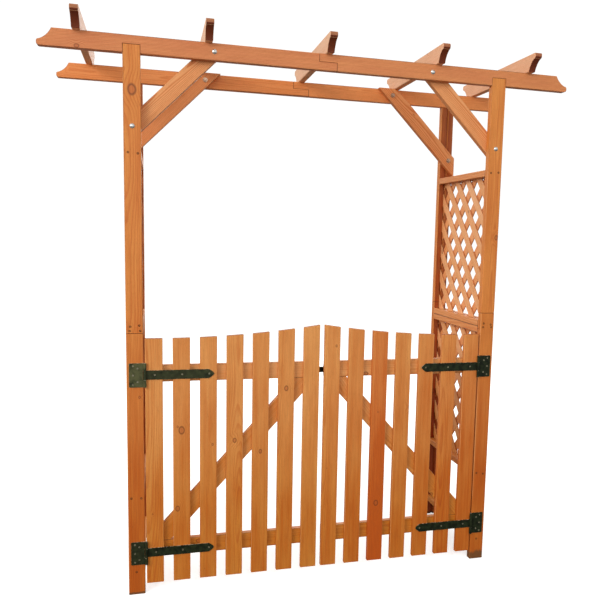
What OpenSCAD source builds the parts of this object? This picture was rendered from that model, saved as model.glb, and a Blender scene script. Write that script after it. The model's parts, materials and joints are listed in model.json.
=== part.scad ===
/* [Overall] */
// height of the beam tops above the ground
beam_top = 2040; // [1700:10:2400]
// width over the outer edges of the posts
post_span = 1464; // [1100:4:1900]
// depth over the front and back frames
depth = 532; // [380:4:800]
// length of a whole beam, nose to nose
beam_len = 2014; // [1500:2:2500]
// how much shorter the back beam is at its right end
beam_back_trim = 12; // [0:1:30]

/* [Boards] */
// width of the post, beam and brace boards
board_w = 60; // [45:1:90]
// thickness of the post, beam, brace and rafter boards
board_t = 28; // [20:1:45]
// length of the half laps in the posts and beams
lap = 68; // [50:1:110]
// how far the post laps start below the joint of the middle rails
lap_drop = 11; // [0:1:30]
// shoulder left on each side of the tongues on the post tops
shoulder = 1; // [0:0.5:6]
// depth of the end shape of the beams and rafters
nose_run = 48; // [34:1:90]
// height of the blunt nose at the board ends
nose_h = 21; // [16:1:30]
// flat on top of the nose before the hollow
nose_flat = 9; // [4:1:14]
// radius of the nose corners
nose_round = 8; // [3:0.5:8]
// radius of the hollow in the board ends
scoop_r = 72; // [55:1:140]

/* [Roof] */
// height of a rafter board
rafter_h = 65; // [50:1:90]
// overhang of the rafters past each frame
rafter_over = 70; // [60:1:140]
// how deep the rafters are housed into the beam tops
rafter_sink = 1; // [1:0.5:8]
// centre of the middle rafter, right of the middle of the beams
rafter_mid = 3; // [-40:1:40]
// second rafter, outside the outer corner of its brace tops
rafter_2_out = 0; // [-20:1:20]
// fourth rafter, outside the outer corner of its brace tops
rafter_4_out = 5; // [-20:1:20]
// centre of the first rafter, from the left ends of the beams
rafter_left = 127; // [90:1:220]
// centre of the last rafter, from the right ends of the beams
rafter_right = 175; // [90:1:220]
// reach of a brace along the beam and down the post, on its centre line
brace_leg = 336; // [240:1:460]
// beam bolts inside the centre lines of their braces
beam_bolt_in = 8; // [0:1:20]

/* [Sides] */
// height of the side rails
rail_h = 26; // [20:1:40]
// gap between the foot of a brace and the top rail
rail_gap = 9.6; // [2:0.2:60]
// joint between the two middle rails
rail_mid_z = 1011; // [800:1:1200]
// underside of the lowest lattice rail
rail_low_z = 366; // [250:1:500]
// underside of the bottom rail
rail_foot_z = 75; // [30:1:160]
// width of the lattice slats
slat_w = 36; // [20:1:50]
// thickness of one layer of lattice slats
slat_t = 5; // [3:0.5:9]
// spacing of the lattice openings along the depth
lattice_y = 110; // [80:1:160]
// spacing of the lattice openings in height
lattice_z = 120; // [80:1:160]
// first row of openings below the top of a lattice panel
lattice_first = 36; // [10:1:60]
// depth of the lattice grooves
groove_d = 7; // [4:0.5:10]

/* [Gate] */
// underside of the pickets
gate_z = 40; // [20:1:100]
// height of the picket tops at the hinge side
gate_top = 980; // [700:1:1300]
// rise of the curved picket tops towards the middle
gate_rise = 45; // [20:1:120]
// width of a picket
picket_w = 63; // [45:1:90]
// thickness of a picket
picket_t = 18; // [12:1:25]
// number of pickets on a leaf
pickets = 7; // [5:1:9]
// gap between the two leaves
gate_gap = 20; // [14:1:40]
// gap between a leaf and its post
post_gap = 5.5; // [5:0.5:14]
// height of the gate rails
ledge_h = 63; // [45:1:90]
// thickness of the gate rails and braces
ledge_t = 22; // [15:1:30]
// underside of the lower gate rail above the foot of the pickets
ledge_low_up = 96; // [40:1:200]
// underside of the upper gate rail below the picket tops at the hinge side
ledge_top_down = 165; // [100:1:350]
// how far the gate rails stop short of the meeting edges of the leaves
ledge_short = 5; // [0:1:10]
// width of the diagonal board of a leaf
gate_brace_w = 66; // [40:1:90]

/* [Hinges] */
// length of a hinge strap from its pin
strap_len = 250; // [180:1:320]
// height of a hinge strap
strap_h = 35; // [24:1:45]
// length of the pointed end of a hinge strap
strap_tip = 18; // [12:1:40]
// blunt width at the very end of a hinge strap
strap_point = 5; // [2:0.5:12]
// first strap screw from the pin
strap_screw = 35; // [22:1:50]
// spacing of the strap screws
strap_screw_pitch = 98.5; // [60:0.5:120]
// height of a hinge plate
plate_h = 90; // [70:1:130]
// width of a hinge plate from the pin
plate_w = 56; // [46:1:60]
// corner radius of the hinge plates
plate_round = 4; // [1:0.5:10]
// outer row of plate screws, from the plate's outer edge
plate_screw_out = 14; // [8:1:20]
// inner row of plate screws, from the plate's outer edge
plate_screw_in = 30; // [22:1:36]
// outermost plate screws, from the plate's top and bottom edges
plate_screw_edge = 10; // [7:1:16]
// inner plate screws, from the plate's top and bottom edges
plate_screw_step = 20; // [16:1:26]
// thickness of the hinge iron
iron_t = 2.5; // [1.5:0.5:5]
// radius of the hinge pins
pin_r = 2.75; // [2:0.25:5]
// distance of the hinge pins from the posts, into the passage
pin_back = 5; // [3:0.5:7]
// upper hinge below the middle of the upper gate rail
hinge_hi_drop = 1; // [-8:0.5:8]
// lower hinge below the middle of the lower gate rail
hinge_lo_drop = 5; // [-8:0.5:12]

/* [Bolt] */
// height of the bolt bar
bar_h = 22; // [14:1:28]
// thickness of the bolt bar
bar_t = 7; // [5:0.5:10]
// travel of the bolt
bolt_travel = 40; // [25:1:60]
// how far the drawn bolt stands past the middle of the gap
bar_nose = 2; // [0:0.5:6]
// how far the shot bolt stands past its last staple
bar_tail = 5; // [2:1:30]
// bolt below the upper hinges
latch_drop = 5; // [0:0.5:10]
// height of the bolt and keeper plates
latch_h = 44; // [36:1:50]
// thickness of the bolt and keeper plates
latch_t = 2.5; // [1.5:0.5:4]
// distance of the plates from the inner ends of the gate rails
latch_in = 0; // [0:1:12]
// distance of the bolt staples from the ends of their plate
staple_in = 24; // [18:1:40]
// distance of the keeper staple from the ends of its plate
keeper_in = 10; // [9:1:16]
// width of a staple
staple_w = 16; // [10:1:24]
// thickness of a staple
staple_t = 3; // [2:0.5:4]
// length of the feet of a staple
staple_foot = 6; // [4:0.5:8]
// radius of the bolt knob
knob_r = 10; // [7:0.5:14]
// radius of the neck of the bolt knob
knob_neck_r = 5; // [3:0.5:6]

/* [Coach bolts and screws] */
// radius of the coach bolts
bolt_r = 4; // [3:0.5:6]
// radius of the coach bolt heads
head_r = 9; // [7:0.5:13]
// height of the coach bolt heads
head_h = 4.5; // [3:0.5:7]
// radius of the washers
washer_r = 10; // [9:0.5:16]
// thickness of the washers
washer_t = 1.6; // [1:0.1:3]
// radius of the nuts over their corners
nut_r = 7.5; // [6.5:0.5:11]
// height of the nuts
nut_h = 6.5; // [5:0.5:10]
// length of coach bolt past the nut
bolt_end = 3; // [1:0.5:10]
// radius of the holes for the iron screws
screw_r = 2.2; // [1.5:0.1:3]
// radius of the countersinks
sink_r = 4.2; // [3:0.1:5.5]

/* [Hidden] */
eps = 1;
fit = 0.2;
pin_fit = 0.1;
half_span = post_span / 2;
post_in = half_span - board_w;
post_mid = half_span - board_w / 2;
half_depth = depth / 2;
beam_low = beam_top - board_w;
tongue_z = beam_top - board_w / 2;
half_t = board_t / 2;
lap_lo = rail_mid_z - lap_drop;
lap_hi = lap_lo + lap;
groove_w = 2 * slat_t + 2 * fit;
rail_len = depth - 2 * board_t;
run45 = board_w * sqrt(2) / 2;
brace_sum = beam_top + half_span - brace_leg;
rail_top_z = brace_sum - run45 - half_span - rail_gap - rail_h;
pin_fit_gap = 0.65;
knuckle_r = pin_r + pin_fit + iron_t;
pin_x = post_in - pin_back;
pin_y = -half_depth - knuckle_r - pin_fit_gap;
leaf_out = post_in - post_gap;
leaf_in = gate_gap / 2;
ledge_in = leaf_in + ledge_short;
pitch = (leaf_out - leaf_in - picket_w) / (pickets - 1);
arc_x = leaf_out - picket_w;
arc_run = arc_x - leaf_in;
arc_r = (arc_run * arc_run + gate_rise * gate_rise) / (2 * gate_rise);
ledge_y = -half_depth + picket_t;
back_y = ledge_y + ledge_t;
ledge_low_z = gate_z + ledge_low_up;
ledge_top_z = gate_top - ledge_top_down;
hinge_hi = ledge_top_z + ledge_h / 2 - hinge_hi_drop;
hinge_lo = ledge_low_z + ledge_h / 2 - hinge_lo_drop;
bolt_z = hinge_hi - latch_drop;
bar_clear = 0.5;
bar_y = back_y + latch_t + bar_clear;
slot_h = bar_h + 2 * bar_clear;
slot_y = bar_y + bar_t + bar_clear;
knob_play = 1;
knob_neck = 12;
knob_x = ledge_in + latch_in + staple_in + staple_w + knob_play + knob_neck_r + bolt_travel;
latch_len = 2 * (staple_in + staple_w + knob_play + knob_neck_r) + bolt_travel;
latch_screw_in = 12;
keeper_len = 2 * keeper_in + staple_w;
keeper_screw_in = 5;
latch_screw_z = latch_h / 2 - 6;
bar_end = ledge_in + latch_in + latch_len - staple_in + bar_tail + bolt_travel;
brace_corner = brace_sum + run45 - beam_top;
post_bolt_z = brace_sum - post_mid;
beam_bolt_z = beam_top - board_w / 2;
beam_bolt_x = brace_sum - beam_bolt_z - beam_bolt_in;
wood = [0.80, 0.48, 0.25];
wood_red = [0.72, 0.38, 0.18];
wood_pale = [0.87, 0.62, 0.42];
iron = [0.12, 0.15, 0.12];
zinc = [0.75, 0.76, 0.78];

// a block from corner to corner
module blk(x0, x1, y0, y1, z0, z1) {
  translate([min(x0, x1), min(y0, y1), min(z0, z1)])
    cube([abs(x1 - x0), abs(y1 - y0), abs(z1 - z0)]);
}

// side = -1 left or 1 right, face = -1 front or 1 back
// y measured inwards from the outer face of a frame
function fy(face, y) = face * (half_depth - y);

module brace_holes(side) {
  for (p = [[post_mid, post_bolt_z], [beam_bolt_x, beam_bolt_z]])
    translate([side * p[0], 0, p[1]]) rotate([90, 0, 0])
      cylinder(h = 2 * depth, r = bolt_r + fit, center = true, $fn = 24);
}

// outer_low tells whether the lower piece keeps the outer half of the lap
module post(side, face, upper, outer_low) {
  y_out = (upper != outer_low) ? 0 : half_t;
  y_in = (upper != outer_low) ? half_t : board_t;
  difference() {
    union() {
      if (upper) {
        blk(side * post_in, side * half_span, fy(face, 0), fy(face, board_t), lap_hi, beam_low);
        blk(side * post_in, side * half_span, fy(face, y_out), fy(face, y_in), lap_lo, lap_hi);
        blk(side * (post_in + shoulder), side * (half_span - shoulder), fy(face, 0),
          fy(face, half_t), beam_low, tongue_z);
      } else {
        blk(side * post_in, side * half_span, fy(face, 0), fy(face, board_t), 0, lap_lo);
        blk(side * post_in, side * half_span, fy(face, y_out), fy(face, y_in), lap_lo, lap_hi);
      }
    }
    blk(side * (post_mid - groove_w / 2), side * (post_mid + groove_w / 2),
      fy(face, board_t - groove_d), fy(face, board_t + eps), -eps, beam_low + eps);
    if (upper) brace_holes(side);
  }
}

// board outline of length l and height h, nose at the bottom left
module nosed(l, h) {
  run = nose_run - nose_flat;
  rise = h - nose_h;
  half = sqrt(run * run + rise * rise) / 2;
  reach = sqrt(scoop_r * scoop_r - half * half) / (2 * half);
  difference() {
    square([l, h]);
    // the hollow runs from the top of the nose to the top of the board
    intersection() {
      translate([(nose_flat + nose_run) / 2 - reach * rise, (nose_h + h) / 2 + reach * run])
        circle(r = scoop_r, $fn = 180);
      translate([-eps, nose_h]) square([nose_run + scoop_r, rise + eps]);
    }
    for (y = [0, nose_h - nose_round])
      difference() {
        translate([-eps, y - (y == 0 ? eps : 0)]) square(nose_round + eps);
        translate([nose_round, y == 0 ? nose_round : y]) circle(r = nose_round, $fn = 48);
      }
  }
}

module beam(side, face) {
  difference() {
    intersection() {
      translate([0, fy(face, half_t), beam_low]) rotate([90, 0, 0])
        linear_extrude(board_t, center = true)
          union() {
            if (side < 0) translate([-beam_len / 2, 0]) nosed(beam_len, board_w);
            if (side > 0) translate([beam_len / 2 - (face > 0 ? beam_back_trim : 0), 0])
              mirror([1, 0]) nosed(beam_len, board_w);
          }
      union() {
        if (side < 0) {
          blk(-beam_len, lap / 2, -depth, depth, 0, tongue_z);
          blk(-beam_len, -lap / 2, -depth, depth, 0, beam_top + eps);
        } else {
          blk(beam_len, lap / 2, -depth, depth, 0, beam_top + eps);
          blk(beam_len, -lap / 2, -depth, depth, tongue_z, beam_top + eps);
        }
      }
    }
    blk(side * (post_in + shoulder - fit), side * (half_span - shoulder + fit), fy(face, -eps),
      fy(face, half_t), beam_low - eps, tongue_z);
    rafter_seats();
    brace_holes(side);
  }
}

module rafter_seats() {
  for (x = rafter_xs())
    blk(x - board_t / 2 - fit, x + board_t / 2 + fit, -depth, depth,
      beam_top - rafter_sink, beam_top + eps);
}

function rafter_xs() = [rafter_left - beam_len / 2, -brace_corner - rafter_2_out, rafter_mid,
  brace_corner + rafter_4_out, beam_len / 2 - rafter_right];

module rafter(k) {
  l = depth + 2 * rafter_over;
  translate([rafter_xs()[k], 0, beam_top - rafter_sink + rafter_h]) rotate([0, 180, 0])
    rotate([90, 0, 90]) linear_extrude(board_t, center = true)
      intersection() {
        translate([-l / 2, 0]) nosed(l, rafter_h);
        mirror([1, 0]) translate([-l / 2, 0]) nosed(l, rafter_h);
      }
}

module brace(side, face) {
  s = brace_sum;
  w = run45;
  color(wood) difference() {
    translate([0, fy(face, board_t + half_t), 0]) rotate([90, 0, 0])
      linear_extrude(board_t, center = true)
        polygon([[side * half_span, s - w - half_span], [side * half_span, s + w - half_span],
          [side * (s + w - beam_top), beam_top], [side * (s - w - beam_top), beam_top]]);
    rafter_seats();
    brace_holes(side);
  }
}

// one rail across a side, grooved above and or below for the lattice
module rail(side, z, up, down) {
  difference() {
    blk(side * post_in, side * half_span, -rail_len / 2, rail_len / 2, z, z + rail_h);
    if (up)
      blk(side * (post_mid - groove_w / 2), side * (post_mid + groove_w / 2), -depth, depth,
        z + rail_h - groove_d, z + rail_h + eps);
    if (down)
      blk(side * (post_mid - groove_w / 2), side * (post_mid + groove_w / 2), -depth, depth,
        z - eps, z + groove_d);
  }
}

// a lattice panel between the rail faces z0 and z1
module lattice(side, z0, z1) {
  w = rail_len + 2 * groove_d - 1;
  a = atan2(lattice_z, lattice_y);
  zc = z1 - lattice_first - lattice_z / 2;
  n = ceil((z1 - z0) / lattice_z) + 2;
  for (dir = [-1, 1])
    translate([side * (post_mid - dir * slat_t / 2), 0, 0])
      rotate([90, 0, 90]) linear_extrude(slat_t, center = true)
        intersection() {
          translate([-w / 2, z0 - groove_d + 0.5]) square([w, z1 - z0 + 2 * groove_d - 1]);
          union() {
            for (k = [-4 : n])
              translate([0, zc - k * lattice_z]) rotate(dir * a)
                square([4 * depth, slat_w], center = true);
          }
        }
}

// centre of picket k, counted from the meeting edge
function picket_x(k) = leaf_in + picket_w / 2 + k * pitch;

module pickets(side) {
  difference() {
    for (k = [0 : pickets - 1])
      blk(side * (picket_x(k) - picket_w / 2), side * (picket_x(k) + picket_w / 2),
        -half_depth, -half_depth + picket_t, gate_z, gate_top + gate_rise + 5);
    translate([side * arc_x, -half_depth + picket_t / 2, gate_top + arc_r]) rotate([90, 0, 0])
      cylinder(h = 2 * picket_t, r = arc_r, center = true, $fn = 720);
    blk(side * arc_x, side * half_span, -depth, depth, gate_top, beam_top);
  }
}

module ledges(side) {
  for (z = [ledge_low_z, ledge_top_z])
    blk(side * ledge_in, side * leaf_out, ledge_y, back_y, z, z + ledge_h);
}

// level width of a slanting board of width w that rises h over the length l
function level_w(w, h, l) = w * (sqrt(l * l * w * w + (h * h - w * w) * (h * h + l * l)) - l * w)
  / (h * h - w * w);

module leaf_brace(side) {
  z0 = ledge_low_z + ledge_h;
  z1 = ledge_top_z;
  c = level_w(gate_brace_w, z1 - z0, leaf_out - ledge_in);
  translate([0, ledge_y + ledge_t / 2, 0]) rotate([90, 0, 0])
    linear_extrude(ledge_t, center = true)
      polygon([[side * (leaf_out - c), z0], [side * leaf_out, z0],
        [side * (ledge_in + c), z1], [side * ledge_in, z1]]);
}

// a rectangle with round corners, centred
module round_rect(w, h, r) {
  square([w - 2 * r, h], center = true);
  square([w, h - 2 * r], center = true);
  for (x = [-1, 1], y = [-1, 1])
    translate([x * (w / 2 - r), y * (h / 2 - r)]) circle(r = r, $fn = 32);
}

// a countersunk screw hole along z through iron from 0 to t, wide at t
module screw_hole(t) {
  sink = sink_r - screw_r;
  translate([0, 0, -eps]) cylinder(h = t + 2 * eps, r = screw_r, $fn = 24);
  translate([0, 0, t - sink])
    cylinder(h = sink + eps, r1 = screw_r, r2 = sink_r + eps, $fn = 24);
}

module hinge_plates(side) {
  knuckle_h = (plate_h - strap_h) / 2;
  for (zc = [hinge_lo, hinge_hi]) translate([0, 0, zc]) {
    difference() {
      union() {
        translate([side * (pin_x + plate_w / 2), -half_depth, 0]) rotate([90, 0, 0])
          linear_extrude(iron_t) round_rect(plate_w, plate_h, plate_round);
        for (z = [-1, 1])
          translate([side * pin_x, pin_y, z * (plate_h - knuckle_h) / 2])
            cylinder(h = knuckle_h, r = knuckle_r, center = true, $fn = 32);
      }
      blk(side * (pin_x - 2 * knuckle_r), side * (pin_x + knuckle_r + 1.5),
        -half_depth - 3 * knuckle_r, -half_depth + eps, -strap_h / 2 - fit, strap_h / 2 + fit);
      for (p = [[plate_screw_out, plate_h / 2 - plate_screw_edge], [plate_screw_out, 0],
          [plate_screw_in, plate_h / 2 - plate_screw_step]], z = [-1, 1])
        translate([side * (pin_x + plate_w - p[0]), -half_depth, z * p[1]])
          rotate([90, 0, 0]) screw_hole(iron_t);
    }
    translate([side * pin_x, pin_y, 0])
      cylinder(h = plate_h, r = pin_r, center = true, $fn = 32);
  }
}

// outline of a strap from its pin to its pointed end, along -x
module strap_outline() {
  h = strap_h / 2 - fit;
  polygon([[0, h], [0, -h], [strap_tip - strap_len, -h], [strap_tip / 3 - strap_len, -h / 2],
    [-strap_len, -strap_point / 2], [-strap_len, strap_point / 2],
    [strap_tip / 3 - strap_len, h / 2], [strap_tip - strap_len, h]]);
}

module hinge_straps(side) {
  for (zc = [hinge_lo, hinge_hi]) translate([side * pin_x, 0, zc])
    difference() {
      union() {
        translate([0, -half_depth, 0]) rotate([90, 0, 0]) linear_extrude(iron_t)
          if (side > 0) strap_outline();
          else mirror([1, 0]) strap_outline();
        translate([0, pin_y, 0])
          cylinder(h = strap_h - 2 * fit, r = knuckle_r, center = true, $fn = 32);
      }
      translate([0, pin_y, 0])
        cylinder(h = 2 * strap_h, r = pin_r + pin_fit, center = true, $fn = 32);
      for (k = [0 : 2])
        translate([-side * (strap_screw + k * strap_screw_pitch), -half_depth, 0])
          rotate([90, 0, 0]) screw_hole(iron_t);
    }
}

// a base plate from x0 over the length l, on the back of a leaf
module latch_plate(x0, l, screw_in) {
  difference() {
    translate([x0 + l / 2, back_y, bolt_z]) rotate([-90, 0, 0])
      linear_extrude(latch_t) round_rect(l, latch_h, plate_round);
    for (x = [screw_in, l - screw_in], z = [-1, 1])
      translate([x0 + x, back_y, bolt_z + z * latch_screw_z]) rotate([-90, 0, 0])
        screw_hole(latch_t);
  }
}

// a bent staple over the bar, with its feet on a base plate
module staple(x0) {
  outer_h = slot_h + 2 * staple_t;
  foot_y = back_y + latch_t;
  translate([x0, 0, bolt_z]) rotate([90, 0, 90]) linear_extrude(staple_w) {
    difference() {
      translate([slot_y + staple_t - outer_h / 2, 0]) round_rect(outer_h, outer_h, staple_t);
      translate([slot_y - slot_h - outer_h, -slot_h / 2]) square([slot_h + outer_h, slot_h]);
      translate([foot_y - 2 * outer_h, -outer_h]) square([2 * outer_h, 2 * outer_h]);
    }
    for (z = [-1, 1])
      translate([foot_y + staple_t / 2, z * (slot_h / 2 + (staple_t + staple_foot) / 2)])
        square([staple_t, staple_t + staple_foot], center = true);
  }
}

module staples() {
  x0 = ledge_in + latch_in;
  latch_plate(x0, latch_len, latch_screw_in);
  staple(x0 + staple_in);
  staple(x0 + latch_len - staple_in - staple_w);
}

module keeper() {
  x0 = -ledge_in - latch_in - keeper_len;
  latch_plate(x0, keeper_len, keeper_screw_in);
  staple(x0 + keeper_in);
}

module bar() {
  translate([(bar_end - bar_nose) / 2, bar_y, bolt_z]) rotate([-90, 0, 0])
    linear_extrude(bar_t) round_rect(bar_end + bar_nose, bar_h, 2);
  translate([knob_x, bar_y + bar_t - eps, bolt_z]) rotate([-90, 0, 0])
    cylinder(h = knob_neck + eps, r = knob_neck_r, $fn = 24);
  translate([knob_x, bar_y + bar_t + knob_neck + knob_r - eps, bolt_z])
    sphere(r = knob_r, $fn = 32);
}

// coach bolts through the braces: domed heads outside, nuts on the braces
module bolts() {
  dome_r = (head_r * head_r + head_h * head_h) / (2 * head_h);
  nut_z = 2 * board_t + washer_t;
  for (side = [-1, 1], face = [-1, 1], p = [[post_mid, post_bolt_z], [beam_bolt_x, beam_bolt_z]])
    translate([side * p[0], face * half_depth, p[1]]) rotate([face * 90, 0, 0]) {
      cylinder(h = nut_z + nut_h + bolt_end, r = bolt_r, $fn = 24);
      rotate([180, 0, 0]) intersection() {
        translate([0, 0, head_h - dome_r]) sphere(r = dome_r, $fn = 64);
        cylinder(h = 2 * head_h, r = head_r, $fn = 48);
      }
      translate([0, 0, 2 * board_t]) cylinder(h = washer_t, r = washer_r, $fn = 32);
      translate([0, 0, nut_z]) cylinder(h = nut_h, r = nut_r, $fn = 6);
    }
}

module side_rails(side, upper) {
  if (upper) {
    rail(side, rail_top_z, false, true);
    rail(side, rail_mid_z, true, false);
  } else {
    rail(side, rail_mid_z - rail_h, false, true);
    rail(side, rail_low_z, true, false);
    rail(side, rail_foot_z, false, false);
  }
}

color(wood) post(-1, -1, false, false);  // post_front_left_lower
color(wood) post(-1, -1, true, false);  // post_front_left_upper
color(wood) post(1, -1, false, true);  // post_front_right_lower
color(wood) post(1, -1, true, true);  // post_front_right_upper
color(wood) post(-1, 1, false, true);  // post_back_left_lower
color(wood) post(-1, 1, true, true);  // post_back_left_upper
color(wood) post(1, 1, false, false);  // post_back_right_lower
color(wood) post(1, 1, true, false);  // post_back_right_upper
color(wood_red) beam(-1, -1);  // beam_front_left
color(wood_red) beam(1, -1);  // beam_front_right
color(wood_red) beam(-1, 1);  // beam_back_left
color(wood_red) beam(1, 1);  // beam_back_right
color(wood_pale) rafter(0);  // rafter_1
color(wood_pale) rafter(1);  // rafter_2
color(wood_pale) rafter(2);  // rafter_3
color(wood_pale) rafter(3);  // rafter_4
color(wood_pale) rafter(4);  // rafter_5
brace(-1, -1);  // brace_front_left
brace(1, -1);  // brace_front_right
brace(-1, 1);  // brace_back_left
brace(1, 1);  // brace_back_right
color(wood_pale) side_rails(-1, true);  // side_rails_left_upper
color(wood_pale) side_rails(-1, false);  // side_rails_left_lower
color(wood_pale) side_rails(1, true);  // side_rails_right_upper
color(wood_pale) side_rails(1, false);  // side_rails_right_lower
color(wood_pale) lattice(-1, rail_mid_z + rail_h, rail_top_z);  // lattice_left_upper
color(wood_pale) lattice(-1, rail_low_z + rail_h, rail_mid_z - rail_h);  // lattice_left_lower
color(wood_pale) lattice(1, rail_mid_z + rail_h, rail_top_z);  // lattice_right_upper
color(wood_pale) lattice(1, rail_low_z + rail_h, rail_mid_z - rail_h);  // lattice_right_lower
color(wood) pickets(-1);  // gate_pickets_left
color(wood) pickets(1);  // gate_pickets_right
color(wood_red) ledges(-1);  // gate_rails_left
color(wood_red) ledges(1);  // gate_rails_right
color(wood_red) leaf_brace(-1);  // gate_brace_left
color(wood_red) leaf_brace(1);  // gate_brace_right
color(iron) hinge_plates(-1);  // hinge_plates_left
color(iron) hinge_plates(1);  // hinge_plates_right
color(iron) hinge_straps(-1);  // hinge_straps_left
color(iron) hinge_straps(1);  // hinge_straps_right
color(iron) staples();  // bolt_staples
color(iron) bar();  // bolt_bar
color(iron) keeper();  // bolt_keeper
color(zinc) bolts();  // brace_bolts
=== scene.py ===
"""Looks of a garden arch with a double picket gate: glazed pine, painted iron and zinc bolts."""
import json
import math
import random

import bmesh
import bpy
from mathutils import Matrix, Vector
from mathutils.bvhtree import BVHTree

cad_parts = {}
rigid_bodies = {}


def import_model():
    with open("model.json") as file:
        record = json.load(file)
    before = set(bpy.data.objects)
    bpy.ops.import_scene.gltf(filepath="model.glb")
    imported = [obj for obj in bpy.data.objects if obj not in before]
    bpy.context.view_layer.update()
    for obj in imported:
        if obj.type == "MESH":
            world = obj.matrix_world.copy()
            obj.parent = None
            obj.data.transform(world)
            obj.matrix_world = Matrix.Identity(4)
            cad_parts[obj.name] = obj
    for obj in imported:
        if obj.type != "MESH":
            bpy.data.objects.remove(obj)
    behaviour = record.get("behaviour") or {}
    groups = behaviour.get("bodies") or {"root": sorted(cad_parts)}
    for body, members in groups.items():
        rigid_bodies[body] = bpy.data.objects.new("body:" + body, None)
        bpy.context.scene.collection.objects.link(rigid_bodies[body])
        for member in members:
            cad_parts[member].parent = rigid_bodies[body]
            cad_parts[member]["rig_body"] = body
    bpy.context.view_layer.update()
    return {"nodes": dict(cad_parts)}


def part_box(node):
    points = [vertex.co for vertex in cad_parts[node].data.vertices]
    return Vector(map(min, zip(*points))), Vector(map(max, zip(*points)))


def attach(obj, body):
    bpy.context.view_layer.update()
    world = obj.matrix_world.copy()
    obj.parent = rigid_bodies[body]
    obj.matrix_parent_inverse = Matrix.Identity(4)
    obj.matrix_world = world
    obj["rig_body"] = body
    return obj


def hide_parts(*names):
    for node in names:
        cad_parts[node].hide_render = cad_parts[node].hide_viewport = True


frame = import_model()

# Camera: a visitor in front of the gate, left of its middle
CAMERA_PLACE = (-0.63, -2.871, 1.365)
CAMERA_TURN = 15.42
CAMERA_DIP = 6.84
CAMERA_ROLL = 1.44
CAMERA_LENS = 41.66
CAMERA_SHIFT = (-0.075, 0.0345)

# Studio: how strong the surround is as light and as seen, and the floor's glow and half width
SURROUND_LEFT = 1.0
SURROUND_RIGHT = 0.62
SURROUND_SEEN = 1.05
FLOOR_GLOW = 0.45
FLOOR_HALF = 14

# Lamps: place, height of the point on the middle line that it faces, size and watts
LAMPS = {"key": ((-7.2, -5.8, 4.9), 1.1, 5.2, 480),
         "front": ((0.4, -4.6, 2.4), 1.0, 3.0, 34),
         "back": ((1.6, 4.4, 3.0), 1.1, 2.6, 70)}

# Timber: how far the long edges of each kind of board are rounded, and then all others
ARRIS = {"post": 0.0028, "beam_back": 0.0026, "beam": 0.0026, "rafter": 0.0038, "brace": 0.0026,
         "side": 0.002, "gate_pickets": 0.0018, "gate_rails": 0.0014, "gate_brace": 0.0014}
GATE_RIM = 0.0006
FRAME_RIM = 0.001
SLAT_RIM = 0.0005

# Bends that still count as flat and as smooth, and from which an outward one is a ridge
FLAT_BEND = math.radians(0.4)
SMOOTH_BEND = math.radians(38)
RIDGE_BEND = math.radians(30)

# Arrises: the shortest, how truly they follow the grain, and how near the board's corner they lie
LONG_EDGE = 0.03
ALONG_GRAIN = 0.999
NEAR_CORNER = 1e-4

# Drilled holes: the largest radius, and how much their walls bend from one facet to the next
TIGHT_CURVE = 0.012
HOLE_BEND = (-0.5, -0.01)

# Faces: how near another board makes a seam, how slanted end grain is, and how far down an end-grain
# face must look to get painted shade as an underside
SEAM_REACH = 0.0015
END_SLANT = 0.35
UNDERCUT = 0.1

# What counts as facing a way squarely, as an edge of a slat, which gets painted shade, and as the top
# of an iron fitting, which gets a painted highlight
SQUARELY = 0.9
SLAT_EDGE = 0.5
IRON_HIGHLIGHT_TOP = 0.7

# Lattice, as in the construction: slats, openings and the tongue that its grooves hold
SLAT_WIDTH = 0.036
SLAT_THICK = 0.005
OPENING = (0.110, 0.120)
FIRST_OPENING = 0.036
PANEL_TONGUE = 0.0065

# Slats: length untrimmed, how many to spare, the shortest kept, and the painted shade on their narrow
# edges, their outer layer and beside crossings
SLAT_LENGTH = 1.4
SPARE_SLATS = 4
SHORTEST_SLAT = 0.02
SLAT_EDGE_SHADE = 0.55
OUTER_SLAT_SHADE_TONE = -0.35
OUTER_SLAT_SHADE_RED = 0.7
CROSSING_SHADE = (0.2, 0.36)

# Ironwork and screws: how far edges are eased, the heads' radii and how far they stand out
IRON_RIM = 0.0004
BOLT_RIM = 0.0003
SCREW_HEAD = 0.0034
WOOD_SCREW_HEAD = 0.0042
SCREW_PROUD = 0.0002

# Hinges, as in the construction: out from the arch's middle line, and up from a plate's middle
PIN_OUT = 0.667
PLATE_EDGE = 0.723
PLATE_HALF = 0.045
KNUCKLE_PROUD = 0.0088
OUTER_ROW = PLATE_EDGE - 0.014
INNER_ROW = PLATE_EDGE - 0.030
OUTER_ROW_UP = PLATE_HALF - 0.010
INNER_ROW_UP = PLATE_HALF - 0.020
PLATE_SCREWS = ((OUTER_ROW, OUTER_ROW_UP), (OUTER_ROW, 0.0), (OUTER_ROW, -OUTER_ROW_UP),
                (INNER_ROW, INNER_ROW_UP), (INNER_ROW, -INNER_ROW_UP))
STRAP_SCREWS = 3
STRAP_SCREW_FROM_PIN = 0.035
STRAP_SCREW_PITCH = 0.0985

# Where the other screws stand: side rails, rafters, gate and latch
POST_MID = 0.702
RAIL_SCREWS_APART = 0.017
STRAY_ACROSS = 0.003
STRAY_UP = 0.005
CLEAR_OF_SEAM = 0.009
RAFTERS = 5
RAFTER_SCREW_IN = 0.014
PICKETS = 7
HALF_BOARD = 0.0315
GATE_SCREW_PAIR = ((-0.016, 0.012), (0.016, -0.012))
BRACE_SHARE = (0.05, 0.95)
LATCH_PLATE = 0.0025
LATCH_SCREW_EDGE = 0.006
LATCH_SCREW_IN = {"bolt_staples": 0.012, "bolt_keeper": 0.005}

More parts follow.
